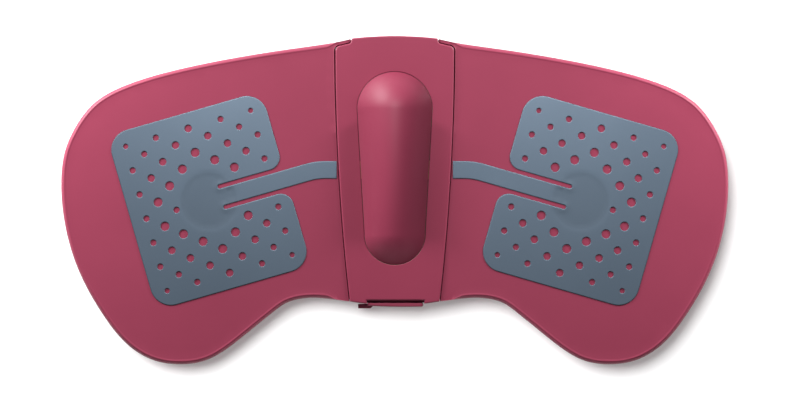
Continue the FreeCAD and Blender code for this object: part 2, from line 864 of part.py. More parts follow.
def hole_places():
    """Holes on a diamond lattice: they shrink outwards, and the tail's side is left solid."""
    holes = []
    for column in range(-4, 5):
        for row in range(-6, 7):
            ring = abs(column) + abs(row)
            if (column + row) % 2 or ring > 10:
                continue
            if ring < 4 and (column, row) != (2, 0):
                continue
            if column < 0 and abs(row) < 2:
                continue
            reach = min(abs(column), 2) * INNER_COLUMN + max(abs(column) - 2, 0) * OUTER_COLUMN
            radius = HOLE_RADIUS[ring]
            if abs(column) == 4:
                radius = min(radius, HOLE_RADIUS[8])
            x, y = tilted(math.copysign(reach, column), row * HOLE_ROW)
            holes.append((x, y, radius))
    return holes


def wing_skin():
    """Skin-side layer of the right wing, with the bed of the electrode and its contact."""
    body = new_body("right_wing_skin")
    slab(body, wing_outline(), "skin_low", "skin_high")
    round_edges(body, size("skin_high"), "skin_round")
    cut(body, electrode_outline(), "film_low", "skin_high")
    x, y = size("film_x"), size("film_y")
    cut(body, circle(x, y, size("patch_radius")), "patch_low", "film_low")
    return body


def wing_backing():
    """Control-side layer of the right wing, set back from the seam so that the wing flexes there."""
    body = new_body("right_wing_backing")
    slab(body, wing_outline(), "wing_low", "skin_low")
    outer = [(x + size("backing_setback"), y) for x, y in SEAM]
    foot, middle, head = outer
    cut(body, [line((5, -36), (foot[0], -36)), line((foot[0], -36), foot), arc(foot, middle, head),
               line(head, (head[0], 52)), line((head[0], 52), (5, 52)), line((5, 52), (5, -36))],
        "wing_low", "skin_low")
    round_edges(body, size("wing_low"), "backing_round")
    cut(body, inset(wing_outline(), size("core_inset")), "core_low", "skin_low")
    return body


def wing_core():
    """Thin sheet between the two layers that keeps the right wing from stretching."""
    body = new_body("right_wing_core")
    slab(body, inset(wing_outline(), size("core_inset")), "core_low", "skin_low")
    return body


def electrode():
    """Conductive film of the right wing."""
    body = new_body("right_electrode")
    holes = [circle(x, y, radius)[0] for x, y, radius in hole_places()]
    slab(body, electrode_outline() + holes, "film_low", "film_high")
    return body


def contact_patch():
    """Disc under the middle of the right electrode."""
    body = new_body("right_contact_patch")
    x, y = size("film_x"), size("film_y")
    slab(body, circle(x, y, size("patch_radius")), "patch_low", "film_low")
    return body


def left_of(item):
    """Mirror image of a right-hand piece, for the left side."""
    label = item.Label.replace("right_", "left_")
    mirror = doc.addObject("Part::Mirroring", label)
    mirror.Label = label
    mirror.Source = item
    mirror.Base = Vector(0, 0, 0)
    mirror.Normal = Vector(1, 0, 0)
    return mirror


# ---------------------------------------------------------------- assembly and export

for make in (front_housing, back_panel, dome_cover, housing_seal, keypad_overlay, case_screws,
             tact_switches, light_guide, status_leds, main_board, board_chips, output_transformer,
             output_capacitors, battery_cell, battery_foam, battery_plug, battery_leads,
             usb_socket, usb_tongue, usb_flap, lead_contacts):
    keep(make())
for label in BUTTONS:
    keep(button(label))
for make in (lead_strip, wing_root, wing_skin, wing_backing, wing_core, electrode, contact_patch):
    right = keep(make())
    keep(left_of(right))
doc.recompute()

for item in doc.Objects:
    if "Invalid" in item.State or "Error" in item.State:
        raise ValueError(f"{item.Label} did not build: {item.State}")
for item in nodes:
    if item.Shape.isNull() or not item.Shape.isValid() or not item.Shape.Solids:
        raise ValueError(f"{item.Label} has no valid solid")
for item in nodes:
    item.Shape.exportStep(f"parts/{item.Label}.step")
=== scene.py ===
import math

import bmesh
import bpy
import numpy as np
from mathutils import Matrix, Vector, geometry


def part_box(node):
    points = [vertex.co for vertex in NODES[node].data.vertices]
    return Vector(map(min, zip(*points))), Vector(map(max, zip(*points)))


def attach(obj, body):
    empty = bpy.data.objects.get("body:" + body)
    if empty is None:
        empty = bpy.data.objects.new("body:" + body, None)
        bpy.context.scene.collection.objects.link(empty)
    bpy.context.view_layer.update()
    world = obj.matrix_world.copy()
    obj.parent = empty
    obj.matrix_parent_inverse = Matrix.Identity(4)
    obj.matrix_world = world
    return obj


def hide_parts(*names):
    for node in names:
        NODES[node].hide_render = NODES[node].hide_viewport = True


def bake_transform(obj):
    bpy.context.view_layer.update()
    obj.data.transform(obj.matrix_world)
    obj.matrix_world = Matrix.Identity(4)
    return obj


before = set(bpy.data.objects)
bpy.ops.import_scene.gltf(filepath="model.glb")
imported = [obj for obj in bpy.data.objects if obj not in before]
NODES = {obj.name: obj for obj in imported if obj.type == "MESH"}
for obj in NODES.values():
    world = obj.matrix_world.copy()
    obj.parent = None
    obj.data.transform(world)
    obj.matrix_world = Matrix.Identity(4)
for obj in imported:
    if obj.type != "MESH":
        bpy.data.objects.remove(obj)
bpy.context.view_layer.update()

# Looks of a wearable TENS unit: soft raspberry wings that bend at the seams of a slim module.
# Outlines and heights below are in millimetres in the CAD frame; meshes are made in metres.

MM = 0.001


def height(node, top=True):
    """Lowest or highest height of a CAD node, in millimetres."""
    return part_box(node)[1 if top else 0].z / MM


SKIN_TOP = height("right_wing_skin")
SKIN_LOW = height("right_wing_skin", top=False)
FILM_TOP = height("right_electrode")
BED_TOP = FILM_TOP - 0.25
FILM_LOW_SIDE = FILM_TOP - 0.24
PANEL_TOP = height("back_panel")
PANEL_PLATE = 1.4

# ---------------------------------------------------------------- camera

FIELD_WIDTH = 0.240
LENS = 150.0
SENSOR = 36.0
CAMERA_CENTRE = (0.00158, -0.0019)
camera_data = bpy.data.cameras.new("camera")
camera_data.lens = LENS
camera_data.sensor_width = SENSOR
camera_data.clip_start = 0.01
camera = bpy.data.objects.new("camera", camera_data)
camera.location = (*CAMERA_CENTRE, SKIN_TOP * MM + FIELD_WIDTH * LENS / SENSOR)
bpy.context.scene.collection.objects.link(camera)
bpy.context.scene.camera = camera

# ---------------------------------------------------------------- plan outlines

SAME_PLACE = 0.02


def arc(a, b, c, step=0.35):
    """Points of the circular arc through three places, ends included."""
    (ax, ay), (bx, by), (cx, cy) = a, b, c
    twice = 2 * (ax * (by - cy) + bx * (cy - ay) + cx * (ay - by))
    sq_a, sq_b, sq_c = ax * ax + ay * ay, bx * bx + by * by, cx * cx + cy * cy
    ox = (sq_a * (by - cy) + sq_b * (cy - ay) + sq_c * (ay - by)) / twice
    oy = (sq_a * (cx - bx) + sq_b * (ax - cx) + sq_c * (bx - ax)) / twice
    radius = math.hypot(ax - ox, ay - oy)
    start, middle, end = (math.atan2(y - oy, x - ox) for x, y in (a, b, c))
    full = 2 * math.pi
    sweep = (end - start) % full
    if (middle - start) % full > sweep:
        sweep -= full
    count = max(4, int(abs(sweep) * radius / step), int(abs(sweep) / math.radians(7)))
    return [(ox + radius * math.cos(start + sweep * k / count),
             oy + radius * math.sin(start + sweep * k / count)) for k in range(count + 1)]


def straight(a, b, step=1.5, bow=0.012):
    """Points of a straight run, bowed by a hair so that no three of them are exactly in line."""
    length = math.dist(a, b)
    count = max(1, int(length / step))
    places = []
    for k in range(count + 1):
        share = k / count
        out = bow * math.sin(math.pi * share) / length
        places.append((a[0] + (b[0] - a[0]) * share + (b[1] - a[1]) * out,
                       a[1] + (b[1] - a[1]) * share - (b[0] - a[0]) * out))
    return places


def curve_through(places, step=0.6):
    """Natural cubic spline through the places, by chord length."""
    pts = np.array(places, float)
    chord = np.r_[0, np.cumsum(np.linalg.norm(np.diff(pts, axis=0), axis=1))]
    gap = np.diff(chord)
    size = len(pts)
    system = np.eye(size)
    right = np.zeros((size, 2))
    for k in range(1, size - 1):
        system[k, k - 1:k + 2] = gap[k - 1], 2 * (gap[k - 1] + gap[k]), gap[k]
        right[k] = 6 * ((pts[k + 1] - pts[k]) / gap[k] - (pts[k] - pts[k - 1]) / gap[k - 1])
    bend = np.linalg.solve(system, right)
    samples = []
    for k in range(size - 1):
        count = max(2, int(gap[k] / step))
        for s in np.arange(count) / count:
            u, v = s * gap[k], (1 - s) * gap[k]
            samples.append((bend[k] * v ** 3 + bend[k + 1] * u ** 3) / (6 * gap[k])
                           + (pts[k] / gap[k] - bend[k] * gap[k] / 6) * v
                           + (pts[k + 1] / gap[k] - bend[k + 1] * gap[k] / 6) * u)
    samples.append(pts[-1])
    return [tuple(sample) for sample in samples]


def joined_open(*runs):
    """Open line from runs that follow each other; shared ends are kept once."""
    places = []
    for run in runs:
        for place in run:
            if not places or math.dist(place, places[-1]) > SAME_PLACE:
                places.append(place)
    return places


def joined(*runs):
    """Closed outline from runs that follow each other; shared ends are kept once."""
    outline = joined_open(*runs)
    if math.dist(outline[0], outline[-1]) < SAME_PLACE:
        outline.pop()
    return outline


def circle(x, y, radius, count=40):
    return [(x + radius * math.cos(2 * math.pi * k / count),
             y + radius * math.sin(2 * math.pi * k / count)) for k in range(count)]


def moved(outline, distance):
    """Outline moved inwards by a distance (one, or one for each point) that is small beside its curves."""
    pts = np.array(outline)
    distance = np.broadcast_to(distance, len(pts))[:, None]
    ahead = np.roll(pts, -1, axis=0) - pts
    ahead /= np.linalg.norm(ahead, axis=1)[:, None]
    behind = np.roll(ahead, 1, axis=0)
    inward_a = np.c_[-ahead[:, 1], ahead[:, 0]]
    inward_b = np.c_[-behind[:, 1], behind[:, 0]]
    inward = inward_a + inward_b
    inward /= np.maximum(np.einsum("ij,ij->i", inward, inward_a)[:, None], 0.5)
    return [tuple(place) for place in pts + inward * distance]


# Half outlines on the +X side, as in the CAD source.
SEAM = [(13.6, -30.4), (16.75, 5.9), (18.0, 44.8)]
ROOT_GAP = 0.04
WING_FREE_EDGE = [
    (13.6 + ROOT_GAP, -30.4), (18.0, -29.85), (24.0, -29.3), (29.5, -29.85), (33.0, -31.1), (36.0, -33.2),
    (43.7, -39.4), (50.2, -44.5), (57.0, -48.2), (64.4, -49.275), (71.5, -48.35), (79.5, -44.0),
    (87.6, -34.4), (95.0, -20.9), (99.3, -5.7), (100.15, 6.0), (98.9, 15.2), (96.2, 21.4),
    (90.4, 29.0), (79.5, 35.0), (64.8, 39.3), (45.9, 43.1), (28.4, 45.8), (18.25, 47.32), (13.4, 48.36),
]
TAIL_INNER = [(13.22, 48.24), (13.42, 47.6), (14.25, 47.07), (16.2, 46.6), (17.6, 46.0), (17.97, 44.8)]


def wing_outline():
    """Right wing with the thin tongue that wraps the panel's shoulder, and which points face the panel."""
    tip, inner, hollow, brow, crook, head = TAIL_INNER
    foot = WING_FREE_EDGE[0]
    middle = (SEAM[1][0] + ROOT_GAP, SEAM[1][1])
    free = joined_open(curve_through(WING_FREE_EDGE), straight(WING_FREE_EDGE[-1], tip))
    seam = joined_open(arc(tip, inner, hollow, 0.15), straight(hollow, brow), arc(brow, crook, head, 0.25),
                       arc(head, middle, foot, 0.8))[1:-1]
    return free + seam, np.array([0.0] * len(free) + [1.0] * len(seam))


FILM_CENTRE = (55.75, -0.175)
FILM_TILT = math.radians(16.05)
FILM_HALF = (24.2, 27.3)
FILM_CORNER = 6.3
LOBE_CORNER = 4.0
TAIL_HALF = 2.65
SLOT_OUTER = 3.75
SLOT_END = -4.25
TAIL_Y = 9.1
TAIL_BEND = 20.0
TAIL_TIP = 17.4


def tilted(u, v):
    """Plan place of a point given in the electrode's own axes."""
    return (FILM_CENTRE[0] + u * math.cos(FILM_TILT) + v * math.sin(FILM_TILT),
            FILM_CENTRE[1] - u * math.sin(FILM_TILT) + v * math.cos(FILM_TILT))


def film_corner(u, v, radius, u_side, v_side):
    """Rounded corner from the edge u to the edge v of the electrode."""
    centre = (u - u_side * radius, v - v_side * radius)
    half = radius * math.sqrt(0.5)
    return arc(tilted(u, centre[1]), tilted(centre[0] + u_side * half, centre[1] + v_side * half),
               tilted(centre[0], v))


def film_outline():
    """Counter-clockwise outline of the right electrode, from the tail's tip round the pad and back."""
    corner_u = -(TAIL_Y - FILM_CENTRE[1]) / math.sin(FILM_TILT)
    reach = TAIL_BEND * math.tan(FILM_TILT / 2)
    bend_x = tilted(corner_u, 0)[0] - reach
    lower = lower_half(-1, corner_u + reach, bend_x)
    upper = lower_half(1, corner_u + reach, bend_x)
    return joined(lower, list(reversed(upper)), straight(upper[0], lower[0]))


def lower_half(side, bend_u, bend_x):
    """Half of the outline on one side of the tail, from the tail's tip to the middle of the outer edge."""
    half_u, half_v = FILM_HALF
    radius = TAIL_BEND + side * TAIL_HALF
    turn = [(bend_x, TAIL_Y + side * TAIL_HALF),
            (bend_x + radius * math.sin(FILM_TILT / 2),
             TAIL_Y - TAIL_BEND + radius * math.cos(FILM_TILT / 2)),
            tilted(bend_u, side * TAIL_HALF)]
    slot = [tilted(SLOT_END, side * TAIL_HALF),
            tilted(SLOT_END + (SLOT_OUTER - TAIL_HALF) / 2, side * (SLOT_OUTER + TAIL_HALF) / 2),
            tilted(SLOT_END, side * SLOT_OUTER)]
    lobe = list(reversed(film_corner(-half_u, side * SLOT_OUTER, LOBE_CORNER, -1, -side)))
    inner = film_corner(-half_u, side * half_v, FILM_CORNER, -1, side)
    outer = list(reversed(film_corner(half_u, side * half_v, FILM_CORNER, 1, side)))
    return joined_open(straight((TAIL_TIP, TAIL_Y + side * TAIL_HALF), turn[0]), arc(*turn),
                       straight(turn[2], slot[0]), arc(*slot, 0.15), straight(slot[2], lobe[0]), lobe,
                       straight(lobe[-1], inner[0]), inner, straight(inner[-1], outer[0]), outer,
                       straight(outer[-1], tilted(half_u, 0)))


HOLE_RADIUS = {2: 0.90, 4: 1.32, 6: 1.10, 8: 0.90, 10: 0.75}
INNER_COLUMN = 5.05
OUTER_COLUMN = 4.70
HOLE_ROW = 3.755


def film_holes():
    """Places and sizes of the holes: a diamond lattice whose holes shrink outwards."""
    holes = []
    for column in range(-4, 5):
        for row in range(-6, 7):
            ring = abs(column) + abs(row)
            if (column + row) % 2 or ring > 10 or (ring < 4 and (column, row) != (2, 0)):
                continue
            if column < 0 and abs(row) < 2:
                continue
            reach = min(abs(column), 2) * INNER_COLUMN + max(abs(column) - 2, 0) * OUTER_COLUMN
            radius = min(HOLE_RADIUS[ring], HOLE_RADIUS[8]) if abs(column) == 4 else HOLE_RADIUS[ring]
            holes.append((*tilted(math.copysign(reach, column), row * HOLE_ROW), radius))
    return holes


# ---------------------------------------------------------------- mesh building


def inside(places, loop):
    """Which of the places lie inside a closed loop, by crossings."""
    pts = np.asarray(places, float)
    ring = np.asarray(loop, float)
    ahead = np.roll(ring, -1, axis=0)
    result = np.zeros(len(pts), bool)
    for (x0, y0), (x1, y1) in zip(ring, ahead):
        crosses = (y0 > pts[:, 1]) != (y1 > pts[:, 1])
        if crosses.any():
            x_cross = x0 + (pts[:, 1] - y0) / (y1 - y0 + 1e-12) * (x1 - x0)
            result ^= crosses & (pts[:, 0] < x_cross)
    return result


def far_from(places, loop, distance):
    """Which of the places keep a distance from all points of a loop."""
    pts = np.asarray(places, float)
    ring = np.asarray(loop, float)
    gap = np.sqrt(((pts[:, None, :] - ring[None, :, :]) ** 2).sum(-1)).min(1)
    return gap > distance


def fill(outer, holes, spacing):
    """Triangles of a flat area with holes: evenly spread inner points, and every loop kept as edges."""
    loops = [outer] + holes
    xs = np.arange(min(x for x, _ in outer) + spacing * 0.4, max(x for x, _ in outer), spacing)
    ys = np.arange(min(y for _, y in outer) + spacing * 0.4, max(y for _, y in outer), spacing * 0.866)
    grid = [(x + (0.5 * spacing if row % 2 else 0), y) for row, y in enumerate(ys) for x in xs]
    grid = np.array(grid, float).reshape(-1, 2)
    grid = grid[inside(grid, outer)]
    for loop in loops:
        box_low, box_high = np.min(loop, axis=0) - spacing, np.max(loop, axis=0) + spacing
        near = ((grid > box_low) & (grid < box_high)).all(1)
        keep = np.ones(len(grid), bool)
        if near.any():
            keep[near] = far_from(grid[near], loop, spacing * 0.45)
        if loop is not outer:
            keep &= ~inside(grid, loop)
        grid = grid[keep]
    points, edges = [], []
    for loop in loops:
        first = len(points)
        points += loop
        edges += [(first + k, first + (k + 1) % len(loop)) for k in range(len(loop))]
    points += [tuple(place) for place in grid]
    _, _, faces, origins, _, _ = geometry.delaunay_2d_cdt([Vector(p) for p in points], edges, [], 0, 1e-5)
    if any(len(origin) != 1 for origin in origins):
        raise ValueError("outline points fall together, or outlines cross")
    order = [origin[0] for origin in origins]
    triangles = [tuple(order[i] for i in face) for face in faces]
    kept = [region for region in regions(triangles, edges) if belongs(region, points, outer, holes)]
    return points, [triangle for region in kept for triangle in region]


def regions(triangles, edges):
    """Triangles grouped into the areas that the outlines divide."""
    fences = {frozenset(edge) for edge in edges}
    sides = {}
    for index, (a, b, c) in enumerate(triangles):
        for side in (frozenset((a, b)), frozenset((b, c)), frozenset((c, a))):
            if side not in fences:
                sides.setdefault(side, []).append(index)
    beside = {}
    for pair in sides.values():
        if len(pair) == 2:
            beside.setdefault(pair[0], []).append(pair[1])
            beside.setdefault(pair[1], []).append(pair[0])
    left, found = set(range(len(triangles))), []
    while left:
        queue = [left.pop()]
        region = []
        while queue:
            index = queue.pop()
            region.append(triangles[index])
            for other in beside.get(index, []):
                if other in left:
                    left.remove(other)
                    queue.append(other)
        found.append(region)
    return found


def belongs(region, points, outer, holes):
    """Whether an area is to be filled, judged at the middle of its largest triangle."""
    def area(triangle):
        (ax, ay), (bx, by), (cx, cy) = (points[i] for i in triangle)
        return abs((bx - ax) * (cy - ay) - (cx - ax) * (by - ay))

    centre = [np.mean([points[i] for i in max(region, key=area)], axis=0)]
    return bool(inside(centre, outer)[0]) and not any(inside(centre, loop)[0] for loop in holes)


def wall(mesh, upper, lower):
    """Band of quads between two rings that match point by point."""
    count = len(upper)
    for k in range(count):
        mesh.faces.new((upper[k], lower[k], lower[(k + 1) % count], upper[(k + 1) % count]))


def ring_at(mesh, loop, z):
    """New vertices along a loop, all at one height."""
    return [mesh.verts.new((x * MM, y * MM, z * MM)) for x, y in loop]


def cap(mesh, outer_ring, outer, hole_rings, holes, spacing, surface, up=True):
    """Fills a flat or slightly shaped face between rings that exist already."""
    points, triangles = fill(outer, holes, spacing)
    known = list(outer_ring)
    for ring in hole_rings:
        known += ring
    verts = known + [mesh.verts.new((x * MM, y * MM, surface(x, y) * MM)) for x, y in points[len(known):]]
    for a, b, c in triangles:
        corners = (verts[a], verts[b], verts[c])
        mesh.faces.new(corners if up else corners[::-1])


def finish_mesh(name, mesh, smooth_angle=35):
    """Turns the built mesh into a linked object with smooth shading below an angle."""
    bmesh.ops.recalc_face_normals(mesh, faces=mesh.faces)
    data = bpy.data.meshes.new(name)
    mesh.to_mesh(data)
    mesh.free()
    obj = bpy.data.objects.new(name, data)
    bpy.context.scene.collection.objects.link(obj)
    data.shade_smooth()
    data.set_sharp_from_angle(angle=math.radians(smooth_angle))
    return obj


def rounded_edge(radius, z, up=True, steps=5):
    """Inset and height pairs of a quarter round from a flat face to a wall, with a support line."""
    sign = 1 if up else -1
    pairs = [(radius + 0.12, z), (radius, z)]
    for k in range(1, steps + 1):
        turn = math.pi / 2 * k / steps
        pairs.append((radius * (1 - math.sin(turn)), z - sign * radius * (1 - math.cos(turn))))
    return pairs if up else pairs[::-1]


def mirror_mesh(obj, name):
    """Left-hand copy of a right-hand piece."""
    mesh = bmesh.new()
    mesh.from_mesh(obj.data)
    for vert in mesh.verts:
        vert.co.x = -vert.co.x
    bmesh.ops.reverse_faces(mesh, faces=mesh.faces)
    copy = finish_mesh(name, mesh)
    for material in obj.data.materials:
        copy.data.materials.append(material)
    return copy


# ---------------------------------------------------------------- materials


def new_material(name):
    material = bpy.data.materials.new(name)
    material.use_nodes = True
    tree = material.node_tree
    shader = tree.nodes["Principled BSDF"]
    return material, tree, shader


def grained(name, colour, roughness, grain=0.35, grain_size=0.00022, mottle=0.06, specular=0.35, sheen=0.0,
            metallic=0.0):
    """Matte moulded surface: fine grain as bump, and small drifts of tone and roughness."""
    material, tree, shader = new_material(name)
    coords = tree.nodes.new("ShaderNodeTexCoord")
    fine = tree.nodes.new("ShaderNodeTexNoise")
    fine.inputs["Scale"].default_value = 1 / grain_size
    fine.inputs["Detail"].default_value = 3.0
    broad = tree.nodes.new("ShaderNodeTexNoise")
    broad.inputs["Scale"].default_value = 55.0
    broad.inputs["Detail"].default_value = 4.0
    for noise in (fine, broad):
        tree.links.new(coords.outputs["Object"], noise.inputs["Vector"])
    tone = tree.nodes.new("ShaderNodeMix")
    tone.data_type = "RGBA"
    tone.inputs["A"].default_value = (*[c * (1 - mottle) for c in colour], 1)
    tone.inputs["B"].default_value = (*[c * (1 + mottle) for c in colour], 1)
    tree.links.new(broad.outputs["Fac"], tone.inputs["Factor"])
    tree.links.new(tone.outputs["Result"], shader.inputs["Base Color"])
    polish = tree.nodes.new("ShaderNodeMapRange")
    polish.inputs["To Min"].default_value = roughness - 0.05
    polish.inputs["To Max"].default_value = roughness + 0.05
    tree.links.new(broad.outputs["Fac"], polish.inputs["Value"])
    tree.links.new(polish.outputs["Result"], shader.inputs["Roughness"])
    bump = tree.nodes.new("ShaderNodeBump")
    bump.inputs["Strength"].default_value = grain
    bump.inputs["Distance"].default_value = grain_size * 0.12
    tree.links.new(fine.outputs["Fac"], bump.inputs["Height"])
    tree.links.new(bump.outputs["Normal"], shader.inputs["Normal"])
    shader.inputs["Specular IOR Level"].default_value = specular
    shader.inputs["Sheen Weight"].default_value = sheen
    shader.inputs["Metallic"].default_value = metallic
    return material


RASPBERRY = (0.235, 0.026, 0.060)
SLATE = (0.033, 0.046, 0.062)
silicone = grained("wing_silicone", RASPBERRY, 0.55, specular=0.35)
case = grained("case_soft_touch", RASPBERRY, 0.48, grain=0.25, specular=0.33, sheen=0.05)
film = grained("electrode_film", SLATE, 0.55, grain_size=0.00018, specular=0.15)
flap_rubber = grained("flap_rubber", tuple(c * 0.9 for c in RASPBERRY), 0.6)
dark_rubber = grained("dark_rubber", (0.02, 0.02, 0.022), 0.7)
metal = grained("plated_metal", (0.55, 0.55, 0.56), 0.3, grain=0.1, metallic=1.0)
mark_white = grained("mark_ink", (0.78, 0.70, 0.72), 0.5, grain=0.1)
window = grained("light_window", (0.55, 0.57, 0.58), 0.35, grain=0.05)


def paint_disc_shade(material, centre, radius, share):
    """Painted shade: the film's colour is made a little darker over the sunken contact disc, on either side.
    """
    tree = material.node_tree
    shader = tree.nodes["Principled BSDF"]
    coords = tree.nodes.new("ShaderNodeTexCoord")
    split = tree.nodes.new("ShaderNodeSeparateXYZ")
    fold = tree.nodes.new("ShaderNodeMath")
    fold.operation = "ABSOLUTE"
    place = tree.nodes.new("ShaderNodeCombineXYZ")
    reach = tree.nodes.new("ShaderNodeVectorMath")
    reach.operation = "DISTANCE"
    reach.inputs[1].default_value = (centre[0] * MM, centre[1] * MM, 0)
    mask = tree.nodes.new("ShaderNodeMapRange")
    mask.interpolation_type = "SMOOTHSTEP"
    mask.inputs["From Min"].default_value = (radius - 0.5) * MM
    mask.inputs["From Max"].default_value = (radius + 0.4) * MM
    mask.inputs["To Min"].default_value = share
    mask.inputs["To Max"].default_value = 1.0
    tree.links.new(coords.outputs["Object"], split.inputs[0])
    tree.links.new(split.outputs["X"], fold.inputs[0])
    tree.links.new(fold.outputs[0], place.inputs["X"])
    tree.links.new(split.outputs["Y"], place.inputs["Y"])
    tree.links.new(place.outputs[0], reach.inputs[0])
    tree.links.new(reach.outputs["Value"], mask.inputs["Value"])
    source = shader.inputs["Base Color"].links[0].from_socket
    darken = tree.nodes.new("ShaderNodeVectorMath")
    darken.operation = "SCALE"
    tree.links.new(source, darken.inputs[0])
    tree.links.new(mask.outputs["Result"], darken.inputs["Scale"])
    tree.links.new(darken.outputs[0], shader.inputs["Base Color"])


# Painted shade: the film's base colour is darkened over its shallow dip at the contact disc.
paint_disc_shade(film, FILM_CENTRE, 8.5, 0.90)


def paint(obj, material):
    obj.data.materials.clear()
    obj.data.materials.append(material)


# ---------------------------------------------------------------- wings

# Section of the free edge, from the flat face outwards: inset and rise of a fine bead and its fall.
RIM = [(1.55, 0.0), (1.38, 0.015), (1.24, 0.05), (1.12, 0.08), (1.0, 0.09), (0.88, 0.07), (0.73, -0.02),
       (0.56, -0.17), (0.40, -0.35), (0.25, -0.56), (0.12, -0.80), (0.03, -1.03), (0.0, -1.2)]
SEAM_SHARE = 0.12
LIP_TOP = 6.35
LIP_REACH = 0.20
BEND_REACH = 30.0
# foot of the right wing's hinge line, and the direction square to it, outwards
AXIS_FOOT = Vector((14.85, -30.4, 6.6)) * MM
OUTWARD = Vector((0.99829, -0.05841, 0.0))


def bend(obj, side):
    """Bakes the piece's placement into its mesh."""
    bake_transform(obj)


def seam_softness(x, y):
    """Share of the full edge rounding: small along the seam, where the edge is crisp."""
    tongue = min(max((x - 13.2) / 0.8, 0.0), 1.0) if y > 40 else 1.0
    return SEAM_SHARE * tongue + (1 - SEAM_SHARE) * min(max((x - 17.5) / 3.0, 0.0), 1.0)


def wing_skin():
    """Skin-side layer: rounded free edge, and the sunk bed of the electrode."""
    mesh = bmesh.new()
    outline, seam = wing_outline()
    bed = film_outline()
    softness = np.array([seam_softness(x, y) for x, y in outline])
    profile = [(inset, SKIN_TOP + rise) for inset, rise in RIM]
    loops = [moved(outline, inset * softness) for inset, _ in profile]
    for lip, inset, z in ((0.0, 0.0, LIP_TOP), (LIP_REACH, 0.0, LIP_TOP), (LIP_REACH, 0.0, SKIN_LOW + 0.12),
                          (LIP_REACH, 0.12, SKIN_LOW)):
        loops.append(moved(outline, inset * (1 - seam) - lip * seam))
        profile.append((inset, z))
    rings = [ring_at(mesh, loop, z) for loop, (_, z) in zip(loops, profile)]
    for upper, lower in zip(rings, rings[1:]):
        wall(mesh, upper, lower)
    lip = ring_at(mesh, bed, SKIN_TOP)
    floor = ring_at(mesh, bed, BED_TOP)
    wall(mesh, floor, lip)
    cap(mesh, rings[0], loops[0], [lip], [bed], 2.4, lambda x, y: SKIN_TOP)
    cap(mesh, floor, bed, [], [], 1.6, bed_height)
    cap(mesh, rings[-1], loops[-1], [], [], 2.4, lambda x, y: SKIN_LOW, up=False)
    return finish_mesh("right_wing_silicone", mesh)


def dip(x, y):
    """The film and its bed sink a little over the contact disc."""
    edge = min(max((8.8 - math.dist((x, y), FILM_CENTRE)) / 0.9, 0.0), 1.0)
    return 0.13 * edge * edge * (3 - 2 * edge)


def film_height(x, y):
    return FILM_TOP - dip(x, y)


def bed_height(x, y):
    return BED_TOP - dip(x, y)


def electrode_film():
    """Conductive film with crisp holes, slots and tail."""
    mesh = bmesh.new()
    outline = moved(film_outline(), 0.03)
    profile = [(0.34, FILM_TOP), (0.24, FILM_TOP), (0.10, FILM_TOP - 0.05), (0.02, FILM_TOP - 0.12),
               (0, FILM_LOW_SIDE)]
    loops = [moved(outline, inset) for inset, _ in profile]
    rings = [ring_at(mesh, loop, z) for loop, (_, z) in zip(loops, profile)]
    for upper, lower in zip(rings, rings[1:]):
        wall(mesh, upper, lower)
    tops, top_rings, lows, low_rings = [], [], [], []
    for x, y, radius in film_holes():
        steps = [(0.26, 0.0), (0.18, 0.0), (0.08, 0.04), (0.01, 0.12), (0.0, FILM_TOP - FILM_LOW_SIDE)]
        hole_loops = [circle(x, y, radius + grow) for grow, _ in steps]
        hole_rings = [ring_at(mesh, loop, FILM_TOP - drop) for loop, (_, drop) in zip(hole_loops, steps)]
        for upper, lower in zip(hole_rings, hole_rings[1:]):
            wall(mesh, lower, upper)
        tops.append(hole_loops[0])
        top_rings.append(hole_rings[0])
        lows.append(hole_loops[-1])
        low_rings.append(hole_rings[-1])
    cap(mesh, rings[0], loops[0], top_rings, tops, 1.2, film_height)
    cap(mesh, rings[-1], loops[-1], low_rings, lows, 1.6, lambda x, y: FILM_LOW_SIDE - dip(x, y), up=False)
    return finish_mesh("right_electrode_film", mesh)


def with_loops(node, name):
    """Copy of a CAD piece of the wing, cut across the bend so that it can curve."""
    mesh = bmesh.new()
    mesh.from_mesh(NODES[node].data)
    bmesh.ops.remove_doubles(mesh, verts=mesh.verts, dist=1e-7)
    for step in np.arange(0.5, BEND_REACH + 1, 1.5):
        place = AXIS_FOOT + OUTWARD * step * MM
        everything = mesh.verts[:] + mesh.edges[:] + mesh.faces[:]
        bmesh.ops.bisect_plane(mesh, geom=everything, dist=1e-8, plane_co=place, plane_no=OUTWARD)
    obj = finish_mesh(name, mesh, 30)
    obj.modifiers.new("weighted", "WEIGHTED_NORMAL").keep_sharp = True
    return obj


def make_wings():
    pieces = [
        (wing_skin(), silicone, "wing_silicone", ["wing_skin"]),
        (electrode_film(), film, "electrode_film", ["electrode"]),
        (with_loops("right_wing_backing", "right_wing_back_layer"), silicone, "wing_silicone",
         ["wing_backing"]),
        (with_loops("right_wing_core", "right_wing_inner_sheet"), film, "core_sheet", ["wing_core"]),
        (with_loops("right_contact_patch", "right_contact_disc"), metal, "contact_metal", ["contact_patch"]),
    ]
    for piece, material, slot, nodes in pieces:
        paint(piece, material)
        left = mirror_mesh(piece, piece.name.replace("right_", "left_"))
        if piece.modifiers:
            left.modifiers.new("weighted", "WEIGHTED_NORMAL").keep_sharp = True
        for side, obj in (("right", piece), ("left", left)):
            bend(obj, side)
            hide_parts(*[f"{side}_{node}" for node in nodes])


make_wings()

# ---------------------------------------------------------------- module

PANEL_GAP = 0.19
PANEL_SHOULDER = [
    (12.9, 48.55), (13.05, 47.75), (13.35, 47.2), (14.1, 46.9), (16.1, 46.4), (17.3, 45.9), (17.75, 44.8),
]
CROWN_Y = 49.275
FOOT_Y = -31.6
# left, right and back of the notch in the panel's foot
NOTCH = (-8.4, 8.9, -30.05)
# place on the ridge and radius of the dome's two round ends
DOME_TOP = (27.2, 11.4)
DOME_FOOT = (-10.3, 9.2)
DOME_PLAY = 0.12
DOME_CREST_Y = 15.0
DOME_RISE = height("dome_cover") - PANEL_TOP - 0.02
